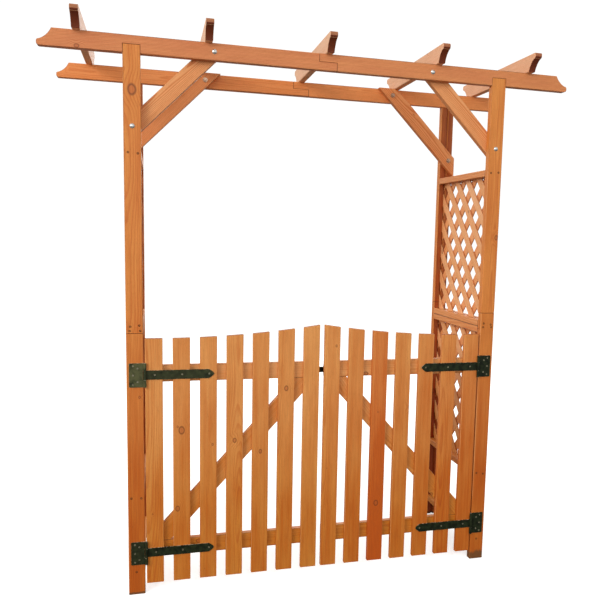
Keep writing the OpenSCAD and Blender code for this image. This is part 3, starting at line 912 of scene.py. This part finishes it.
def finish_timber(name):
    """A board or set of boards with rounded arrises and its own grain."""
    kind = kind_of(name)
    mesh = merged_copy(name)
    round_arrises(mesh, ARRIS[kind])
    round_rims(mesh, GATE_RIM if kind.startswith("gate") else FRAME_RIM)
    write_grain(mesh, name)
    mark_seams(mesh, name)
    if kind == "post":
        paint_lattice_shade(mesh, name)
    add_piece(mesh, name + "_timber", body_of(name), PINE[kind], WOOD_SLOTS[kind], name)


def paint_lattice_shade(mesh, name):
    """The edges of a post that face the lattice get painted shade, as if the lattice shaded them."""
    painted_shade = mesh.faces.layers.float.new("painted_shade")
    crossing = mesh.verts.layers.float.new("crossing")
    inward = 1.0 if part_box(name)[0].y < 0 else -1.0
    for corner in mesh.verts:
        corner[crossing] = 0.5
    for face in mesh.faces:
        face[painted_shade] = 1.0 if face.normal.y * inward > SQUARELY else 0.0


def shade_crossings(mesh, middle, inward, first):
    """Marks each slat's narrow edges and the faces that face the other layer for painted shade, and
    tones the outer layer deeper and redder as painted shade.
    """
    tone, red = mesh.verts.layers.float["tone"], mesh.verts.layers.float["red"]
    crossing = mesh.verts.layers.float.new("crossing")
    painted_shade = mesh.faces.layers.float.new("painted_shade")
    end_grain_and_shade = mesh.faces.layers.float["end_grain_and_shade"]
    for board in boards_of(mesh):
        layer = 1 if (middle_of(board)[0] - middle) * inward > 0 else -1
        for corner in board:
            up, along = (corner.co.z - first) / OPENING[1], corner.co.y / OPENING[0]
            corner[crossing] = up + layer * along + 0.5
            # The outer layer is set deeper and redder: painted shade, as it lies behind the inner one
            if layer < 0:
                corner[tone] += OUTER_SLAT_SHADE_TONE
                corner[red] = OUTER_SLAT_SHADE_RED
        for face in parts_of(board, "link_faces"):
            face[painted_shade] = 1.0 if face.normal.x * inward * layer < -SQUARELY else 0.0
            # Narrow slat edges get painted shade through the end-grain mark
            if abs(face.normal.x) < SLAT_EDGE and not face[end_grain_and_shade]:
                face[end_grain_and_shade] = SLAT_EDGE_SHADE


def first_crossing(high):
    """Height of the topmost crossing on the middle of a panel."""
    return high.z - PANEL_TONGUE - FIRST_OPENING - OPENING[1] / 2


def lay_slats(mesh, inward, layer, low, high):
    """One layer of slanted slats across a panel, before they are trimmed to it."""
    slope = math.atan2(OPENING[1], OPENING[0]) * layer
    first = first_crossing(high)
    middle = (low.x + high.x) / 2 + inward * layer * SLAT_THICK / 2
    rows = math.ceil((high.z - low.z) / OPENING[1])
    for row in range(-SPARE_SLATS, rows + SPARE_SLATS):
        place = Matrix.Translation((middle, 0, first - row * OPENING[1]))
        shape = Matrix.Diagonal((SLAT_THICK, SLAT_LENGTH, SLAT_WIDTH, 1))
        bmesh.ops.create_cube(mesh, size=1.0, matrix=place @ Matrix.Rotation(slope, 4, "X") @ shape)


def trim(mesh, point, outward):
    """Cuts everything beyond a plane away and closes the cut ends."""
    everything = mesh.verts[:] + mesh.edges[:] + mesh.faces[:]
    bmesh.ops.bisect_plane(mesh, geom=everything, dist=1e-7, plane_co=point, plane_no=outward,
                           clear_outer=True)
    close_holes(mesh, mesh.edges)


def weave_lattice(name):
    """A diamond lattice panel of two layers of slats, trimmed to its grooves."""
    low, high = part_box(name)
    inward = -1.0 if low.x > 0 else 1.0
    mesh = bmesh.new()
    mesh.faces.layers.float.new("wear_and_highlight")
    for layer in (-1, 1):
        lay_slats(mesh, inward, layer, low, high)
    for point, outward in ((low, (0, -1, 0)), (low, (0, 0, -1)),
                           (high, (0, 1, 0)), (high, (0, 0, 1))):
        trim(mesh, point, outward)
    for board in boards_of(mesh):
        spread = [max(v.co[k] for v in board) - min(v.co[k] for v in board) for k in range(3)]
        if math.hypot(spread[1], spread[2]) < SHORTEST_SLAT:
            bmesh.ops.delete(mesh, geom=board, context="VERTS")
    bmesh.ops.recalc_face_normals(mesh, faces=mesh.faces[:])
    round_rims(mesh, SLAT_RIM)
    write_grain(mesh, name)
    shade_crossings(mesh, (low.x + high.x) / 2, inward, first_crossing(high))
    add_piece(mesh, name + "_slats", body_of(name), PINE["lattice"], WOOD_SLOTS["lattice"], name)


# -------- ironwork

def finish_metal(name, material, slot, rim=IRON_RIM):
    """A metal fitting with its sharp edges eased."""
    mesh = merged_copy(name)
    round_rims(mesh, rim, 2)
    faded_layer = mesh.verts.layers.float.new("faded")
    for fitting, faded in zip(boards_of(mesh), FADED.get(name, ())):
        for corner in fitting:
            corner[faded_layer] = faded
    # The bolts at the back are stained, and the tops of iron fittings show bare metal in patches: a
    # painted highlight
    if name == "brace_bolts":
        for corner in mesh.verts:
            corner[faded_layer] = 1.0 if corner.co.y > 0 else 0.0
    wear_and_highlight = mesh.faces.layers.float["wear_and_highlight"]
    for face in mesh.faces:
        if material is IRON and face.normal.z > IRON_HIGHLIGHT_TOP:
            face[wear_and_highlight] = 1.0
    add_piece(mesh, name + "_metal", body_of(name), material, slot, name)


def only(kind, parts):
    """Those of some mesh parts that are of one kind."""
    return [part for part in parts if isinstance(part, kind)]


def draw_down(mesh, edges, width, drop):
    """Extrudes a loop of edges, and widens and lowers the new loop: the edges this makes."""
    made = bmesh.ops.extrude_edge_only(mesh, edges=edges)["geom"]
    corners = only(bmesh.types.BMVert, made)
    bmesh.ops.scale(mesh, vec=(width, width, 1), verts=corners)
    bmesh.ops.translate(mesh, vec=(0, 0, -drop), verts=corners)
    return only(bmesh.types.BMEdge, made)


def screw_pattern(radius):
    """A countersunk screw head with a cross recess: its rim lies at height 0, facing up."""
    mesh = bmesh.new()
    mesh.faces.layers.float.new("wear_and_highlight")
    bmesh.ops.create_circle(mesh, segments=20, radius=radius)
    rim = mesh.edges[:]
    arm, half = radius * 0.55, radius * 0.13
    outline = [(half, arm), (-half, arm), (-half, half), (-arm, half), (-arm, -half), (-half, -half),
               (-half, -arm), (half, -arm), (half, -half), (arm, -half), (arm, half), (half, half)]
    corners = [mesh.verts.new((x, y, 0)) for x, y in outline]
    cross = [mesh.edges.new((corners[k - 1], corners[k])) for k in range(len(corners))]
    bmesh.ops.bridge_loops(mesh, edges=rim + cross)
    close_holes(mesh, draw_down(mesh, cross, 0.6, radius * 0.35))
    for width, drop in ((1.04, 0.12), (0.6, 0.45)):
        rim = draw_down(mesh, rim, width, radius * drop)
    close_holes(mesh, mesh.edges)
    bmesh.ops.recalc_face_normals(mesh, faces=mesh.faces[:])
    pattern = bpy.data.meshes.new("screw_pattern")
    mesh.to_mesh(pattern)
    mesh.free()
    return pattern


def set_screws(name, body, radius, places, material=SCREW_ZINC):
    """One piece of many screw heads: each place is a point and the way its head faces."""
    pattern = screw_pattern(radius)
    chance = random.Random("screws of " + name)
    mesh = bmesh.new()
    for point, facing in places:
        before = len(mesh.verts)
        mesh.from_mesh(pattern)
        mesh.verts.ensure_lookup_table()
        facing = Vector(facing)
        turn = facing.to_track_quat("Z", "Y").to_matrix().to_4x4()
        spin = Matrix.Rotation(chance.uniform(0, math.pi), 4, "Z")
        place = Matrix.Translation(Vector(point) + facing * SCREW_PROUD) @ turn @ spin
        bmesh.ops.transform(mesh, matrix=place, verts=mesh.verts[before:])
    bpy.data.meshes.remove(pattern)
    add_piece(mesh, name, body, material, "zinc")


def hinge_screws(side_name, side):
    """Screws through the hinge plates into the posts and through the straps into the gate."""
    low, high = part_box("hinge_plates_" + side_name)
    heights = (low.z + PLATE_HALF, high.z - PLATE_HALF)
    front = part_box("hinge_straps_" + side_name)[0].y + KNUCKLE_PROUD
    first = PIN_OUT - STRAP_SCREW_FROM_PIN
    along = [first - count * STRAP_SCREW_PITCH for count in range(STRAP_SCREWS)]
    plates = [((side * x, front, z + up), (0, -1, 0)) for z in heights for x, up in PLATE_SCREWS]
    straps = [((side * x, front, z), (0, -1, 0)) for z in heights for x in along]
    set_screws(f"plate_screws_{side_name}", "arch", SCREW_HEAD, plates)
    set_screws(f"strap_screws_{side_name}", side_name + "_leaf", SCREW_HEAD, straps)


def rail_heights():
    """Heights of the side rails' middles."""
    heights = []
    for part in ("lower", "upper"):
        mesh = merged_copy("side_rails_left_" + part)
        heights += [middle_of(board)[2] for board in boards_of(mesh)]
        mesh.free()
    return heights


def post_screws():
    """Screws through the posts into the ends of the side rails, front and back."""
    chance = random.Random("post screws")
    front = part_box("post_front_left_lower")[0].y
    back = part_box("post_back_left_lower")[1].y
    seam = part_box("post_front_left_upper")[0].z
    places, rows = [], rail_heights()
    for y, facing in ((front, (0, -1, 0)), (back, (0, 1, 0))):
        for side in (-1, 1):
            for z in rows:
                offsets = (0.0,) if z == min(rows) else (-RAIL_SCREWS_APART, RAIL_SCREWS_APART)
                for x in offsets:
                    across = side * POST_MID + x + chance.uniform(-STRAY_ACROSS, STRAY_ACROSS)
                    height = z + chance.uniform(-STRAY_UP, STRAY_UP)
                    if abs(height - seam) < CLEAR_OF_SEAM:
                        height = seam + CLEAR_OF_SEAM
                    places.append(((across, y, height), facing))
    set_screws("post_screws", "arch", WOOD_SCREW_HEAD, places, SCREW_GLAZED)


def latch_screws():
    """Screws through the plates of the bolt and its keeper into the gate's rails."""
    for name, inset in LATCH_SCREW_IN.items():
        low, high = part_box(name)
        places = [((x, low.y + LATCH_PLATE, z), (0, 1, 0))
                  for x in (low.x + inset, high.x - inset)
                  for z in (low.z + LATCH_SCREW_EDGE, high.z - LATCH_SCREW_EDGE)]
        set_screws(name + "_screws", body_of(name), SCREW_HEAD, places)


def rafter_screws():
    """Screws down through the rafters into the beams."""
    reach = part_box("post_back_left_lower")[1].y - RAFTER_SCREW_IN
    places = []
    for number in range(1, RAFTERS + 1):
        low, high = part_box(f"rafter_{number}")
        places += [(((low.x + high.x) / 2, y, high.z), (0, 0, 1)) for y in (-reach, reach)]
    set_screws("rafter_screws", "arch", WOOD_SCREW_HEAD, places, SCREW_GLAZED)


def gate_screws(side_name, side):
    """Screws from behind through the gate's rails and brace into every picket."""
    low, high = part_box("gate_rails_" + side_name)
    brace_low, brace_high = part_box("gate_brace_" + side_name)
    ends = [abs(corner.x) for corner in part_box("gate_pickets_" + side_name)]
    inner, outer = min(ends), max(ends)
    middles = (low.z + HALF_BOARD, high.z - HALF_BOARD)
    places = []
    for count in range(PICKETS):
        x = inner + HALF_BOARD + count * (outer - inner - 2 * HALF_BOARD) / (PICKETS - 1)
        for z in middles:
            places += [((side * (x + dx), high.y, z + dz), (0, 1, 0)) for dx, dz in GATE_SCREW_PAIR]
        share = (outer - x) / (outer - inner)
        if BRACE_SHARE[0] < share < BRACE_SHARE[1]:
            height = brace_low.z + share * (brace_high.z - brace_low.z)
            places.append(((side * x, high.y, height), (0, 1, 0)))
    set_screws(f"gate_screws_{side_name}", side_name + "_leaf", SCREW_HEAD, places)


# -------- studio

def set_camera():
    """The camera, from its place, its turns, its lens and its shift."""
    camera = bpy.data.objects.new("camera", bpy.data.cameras.new("camera"))
    camera.data.lens = CAMERA_LENS
    camera.data.shift_x, camera.data.shift_y = CAMERA_SHIFT
    turn = Matrix.Rotation(math.radians(-CAMERA_TURN), 4, "Z")
    dip = Matrix.Rotation(math.radians(90 - CAMERA_DIP), 4, "X")
    roll = Matrix.Rotation(math.radians(CAMERA_ROLL), 4, "Z")
    camera.matrix_world = Matrix.Translation(CAMERA_PLACE) @ turn @ dip @ roll
    bpy.context.scene.collection.objects.link(camera)
    bpy.context.scene.camera = camera


def soft_light(name, place, height, size, power):
    """A round white lamp that faces a point on the middle line."""
    lamp = bpy.data.lights.new(name, "AREA")
    lamp.shape, lamp.size, lamp.energy = "DISK", size, power
    light = bpy.data.objects.new(name, lamp)
    towards = (Vector((0, 0, height)) - Vector(place)).to_track_quat("-Z", "Y")
    light.matrix_world = Matrix.Translation(place) @ towards.to_matrix().to_4x4()
    bpy.context.scene.collection.objects.link(light)


def light_studio():
    """A white surround, brighter on the left, and large soft lamps."""
    world = bpy.data.worlds.new("white studio")
    world.use_nodes = True
    tree = world.node_tree
    around = tree.nodes["Background"]
    around.inputs["Color"].default_value = (1, 1, 1, 1)
    path = add(tree, "ShaderNodeLightPath").outputs
    seen = calc(tree, "MAXIMUM", path["Is Camera Ray"], path["Is Glossy Ray"])
    rightwards = split(tree, add(tree, "ShaderNodeTexCoord").outputs["Generated"])[0]
    lit = span(tree, rightwards, -0.8, 0.8, SURROUND_LEFT, SURROUND_RIGHT)
    strength = add(tree, "ShaderNodeMix", {0: seen, 2: lit, 3: SURROUND_SEEN}, data_type="FLOAT")
    feed(tree, around.inputs["Strength"], strength.outputs[0])
    bpy.context.scene.world = world
    for name, settings in LAMPS.items():
        soft_light(name, *settings)
    bpy.context.scene.view_settings.view_transform = "Standard"


def lay_floor():
    """The studio's floor."""
    mesh = bmesh.new()
    bmesh.ops.create_grid(mesh, x_segments=2, y_segments=2, size=FLOOR_HALF)
    data = bpy.data.meshes.new("floor")
    mesh.to_mesh(data)
    mesh.free()
    data.materials.append(floor_paper())
    floor = bpy.data.objects.new("floor", data)
    bpy.context.scene.collection.objects.link(floor)


# -------- the whole arch

set_camera()
light_studio()
lay_floor()
for node_name in sorted(frame["nodes"]):
    if node_name.startswith("lattice"):
        weave_lattice(node_name)
    elif node_name.startswith(tuple(ARRIS)) and node_name != "brace_bolts":
        finish_timber(node_name)
for node_name in ("hinge_plates_left", "hinge_plates_right", "hinge_straps_left", "hinge_straps_right",
                  "bolt_staples", "bolt_keeper", "bolt_bar"):
    finish_metal(node_name, IRON, "dark_iron")
finish_metal("brace_bolts", BOLT_ZINC, "zinc", BOLT_RIM)
for name_of_side, way in (("left", -1), ("right", 1)):
    hinge_screws(name_of_side, way)
    gate_screws(name_of_side, way)
post_screws()
latch_screws()
rafter_screws()
